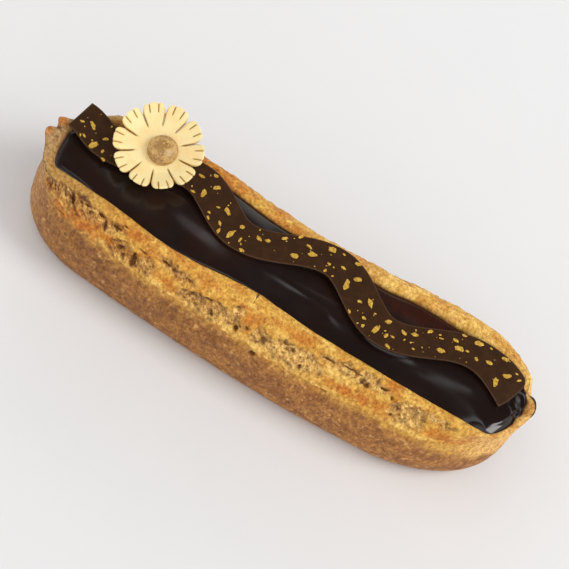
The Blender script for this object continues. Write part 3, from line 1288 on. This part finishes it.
def petal_point(radius, share, gap, column, side, petal):
    """A point of a petal's top, side 1, or underside, side -1, and how dark it is painted."""
    out = max(0.0, radius - PETAL_SLIT) / (PETAL_REACH - PETAL_SLIT)
    full = 1 - clamp(gap / EDGE_ROUND)
    half_thick = PETAL_THICKNESS / 2 * math.sqrt(1 - full * full)
    cut = 0.0
    if side > 0:
        groove_start = PETAL_REACH - GROOVE_LENGTH
        cut = groove(column) * smoothstep(radius, groove_start, groove_start + 0.5) * clamp(gap / 0.2)
    lift = PETAL_LIFTS * (draw(petal + 40) - 0.5)
    z = PETAL_THICKNESS / 2 + (PETAL_RISE + lift) * out**1.4
    z -= PETAL_PUFF * share**4 * smoothstep(out, 0, 0.5)
    z += side * half_thick - GROOVE_DEPTH * cut
    length = 1 + PETAL_LENGTHS * (draw(petal + 60) - 0.5)
    stretched = lerp(radius, radius * length, smoothstep(out, 0, 1))
    turn = math.radians(180 / PETALS * (2 * petal + share) + PETAL_TURN)
    beside_slit = falling(gap, 0.05, 0.35) * smoothstep(abs(column), 0.7, 0.9)
    dark = max(cut, 0.9 * beside_slit * falling(out, 0.5, 0.95))
    return Vector((stretched * math.cos(turn), stretched * math.sin(turn), z)), dark


def flower_petals(bm, mark):
    grid = petal_grid()
    last = len(grid) - 1
    for petal in range(PETALS):
        for side in (1, -1):
            for v, column, row in sheet(bm, PETAL_COLUMNS, last):
                at, v[mark] = petal_point(*grid[row][column], side, petal)
                v.co = place_flower(at)
    close_seams(bm)


def flower():
    bm = bmesh.new()
    mark = bm.verts.layers.float.new("groove")
    flower_petals(bm, mark)
    bottom = STRIP_Z + STRIP_THICKNESS - SUNK
    top = FLOWER_AT.z + PETAL_THICKNESS / 2
    foot = bmesh.ops.create_cone(
        bm, cap_ends=True, segments=32, radius1=FLOWER_FOOT[1] * MM, radius2=FLOWER_FOOT[0] * MM,
        depth=(top - bottom) * MM,
    )["verts"]
    bmesh.ops.translate(bm, verts=foot, vec=Vector((FLOWER_AT.x, FLOWER_AT.y, (top + bottom) / 2)) * MM)
    dress("moulded_flower", bm, white_chocolate(), "white_chocolate", "flower")


def flower_centre():
    """A squat praline ball: a profile spun round, then made a little uneven."""
    bm = bmesh.new()
    girth = CENTRE_GIRTH * CENTRE_HEIGHT
    profile = [Vector((0, 0, 0)), Vector((CENTRE_FOOT * CENTRE_RADIUS, 0, 0))]
    bends = 5
    for k in range(1, bends):
        turn = quarter(k, bends)
        radius = lerp(CENTRE_FOOT, 1, math.sin(turn)) * CENTRE_RADIUS
        profile.append(Vector((radius, 0, girth * (1 - math.cos(turn)))))
    arcs = 24
    for k in range(arcs + 1):
        turn = quarter(k, arcs)
        radius = CENTRE_RADIUS * math.cos(turn) if k < arcs else 0.0
        profile.append(Vector((radius, 0, girth + (CENTRE_HEIGHT - girth) * math.sin(turn))))
    verts = [bm.verts.new(p) for p in profile]
    edges = [bm.edges.new(pair) for pair in zip(verts, verts[1:])]
    bmesh.ops.spin(
        bm, geom=verts + edges, cent=(0, 0, 0), axis=(0, 0, 1), angle=2 * math.pi, steps=72, use_merge=True,
    )
    bmesh.ops.remove_doubles(bm, verts=bm.verts, dist=0.001)
    bmesh.ops.recalc_face_normals(bm, faces=bm.faces)
    bm.normal_update()
    for v in bm.verts:
        v.co += v.normal * roughs(v.co, *BALL_DENTS) * smoothstep(v.co.z, 0, 0.8)
    shift = Vector((*CENTRE_OFFSET, PETAL_THICKNESS - SUNK))
    for v in bm.verts:
        v.co = place_flower(v.co + shift)
    dress("praline_ball", bm, praline(), "praline", "flower_centre")


# ---- stage ----

IMAGE_SIDE = 569  # pixels
SENSOR = 36.0
CAMERA_DISTANCE = 650.0
CAMERA_ELEVATION = 56.0
CAMERA_ROLL = 31.98
CAMERA_TARGET = Vector((0.7, 1.0, 20.0))
PIXELS_PER_MM = 4.04  # at the target
LIT_PLACE = Vector((0, 0, 20))  # what the lights face
FLOOR_SIZE = 3000.0


def camera():
    """Looks down on the near side, rolled so that the eclair lies across the picture."""
    data = bpy.data.cameras.new("camera")
    data.sensor_width = SENSOR
    data.lens = SENSOR * PIXELS_PER_MM * CAMERA_DISTANCE / IMAGE_SIDE
    data.clip_start = 0.05
    data.clip_end = 20
    eye = new_object("camera", data)
    elevation = math.radians(CAMERA_ELEVATION)
    roll = math.radians(CAMERA_ROLL)
    back = Vector((0, -math.cos(elevation), math.sin(elevation)))
    level_up = Vector((0, math.sin(elevation), math.cos(elevation)))
    right = math.cos(roll) * Vector((1, 0, 0)) + math.sin(roll) * level_up
    up = math.cos(roll) * level_up - math.sin(roll) * Vector((1, 0, 0))
    turn = Matrix((right, up, back)).transposed()
    eye.matrix_world = Matrix.Translation((CAMERA_TARGET + CAMERA_DISTANCE * back) * MM) @ turn.to_4x4()
    bpy.context.scene.camera = eye


def softbox(name, direction, distance, size, power, colour):
    """An area light of the given width and height, in the given direction from the eclair, facing it."""
    data = bpy.data.lights.new(name, "AREA")
    data.shape = "RECTANGLE"
    data.size = size[0] * MM
    data.size_y = size[1] * MM
    data.energy = power
    data.color = colour
    lamp = new_object(name, data)
    away = Vector(direction).normalized()
    lamp.location = (LIT_PLACE + away * distance) * MM
    lamp.rotation_euler = away.to_track_quat("Z", "Y").to_euler()


def floor():
    bm = bmesh.new()
    bmesh.ops.create_grid(bm, x_segments=8, y_segments=8, size=FLOOR_SIZE * MM)
    material, shades = new_material("pale paper")
    colour = mottled(shades, (231, 230, 230), (230, 229, 229), 40.0, 0.3, 0.7)
    normal = shades.bump(shades.noise(3.0), 0.01)
    finish_surface(shades, colour, shades.remap(shades.noise(30.0), 0.3, 0.7, 0.85, 0.95), normal)
    ground = new_solid("floor", bm, material)


GLOW = 1.06
FLAG_GLOW = 0.05
FLAG_TOWARD = (0.0, 0.37, 0.93)  # a dark panel where a level, glossy top would mirror the studio
FLAG_EDGES = (0.707, 0.927)  # cosines from its middle: where it ends and where it is darkest


def studio():
    softbox("key", (0.58, 0.02, 0.81), 1600, (640, 640), 9.0, (1.0, 1.0, 1.0))
    softbox("strip light", (0.05, 0.09, 0.99), 900, (700, 130), 0.4, (0.96, 0.98, 1.0))
    softbox("back fill", (-0.35, 0.75, 0.42), 900, (400, 300), 0.5, (0.95, 0.98, 1.0))
    world = bpy.data.worlds.new("studio")
    world.use_nodes = True
    shades = Shades(world.node_tree)
    direction = shades.add("ShaderNodeTexCoord").outputs["Generated"]
    away = shades.add("ShaderNodeVectorMath", {0: direction, 1: FLAG_TOWARD}, operation="DOT_PRODUCT")
    glow = shades.remap(away.outputs["Value"], *FLAG_EDGES, GLOW, FLAG_GLOW)
    sky = shades.add("ShaderNodeBackground", {"Color": (1.0, 1.0, 1.0, 1.0), "Strength": glow})
    shades.add("ShaderNodeOutputWorld", {"Surface": sky.outputs[0]})
    bpy.context.scene.world = world
    bpy.context.scene.view_settings.view_transform = "Standard"


# ---- the eclair ----

camera()
studio()
floor()
choux_shell()
GLAZE = poured_glaze()
dress("poured_glaze", chocolate_glaze(), GLAZE, "dark_glaze", "chocolate_glaze")
dress("glaze_dribble", glaze_run(), GLAZE, "dark_glaze", "glaze_run")
chocolate_strip()
gold_flakes()
flower()
flower_centre()
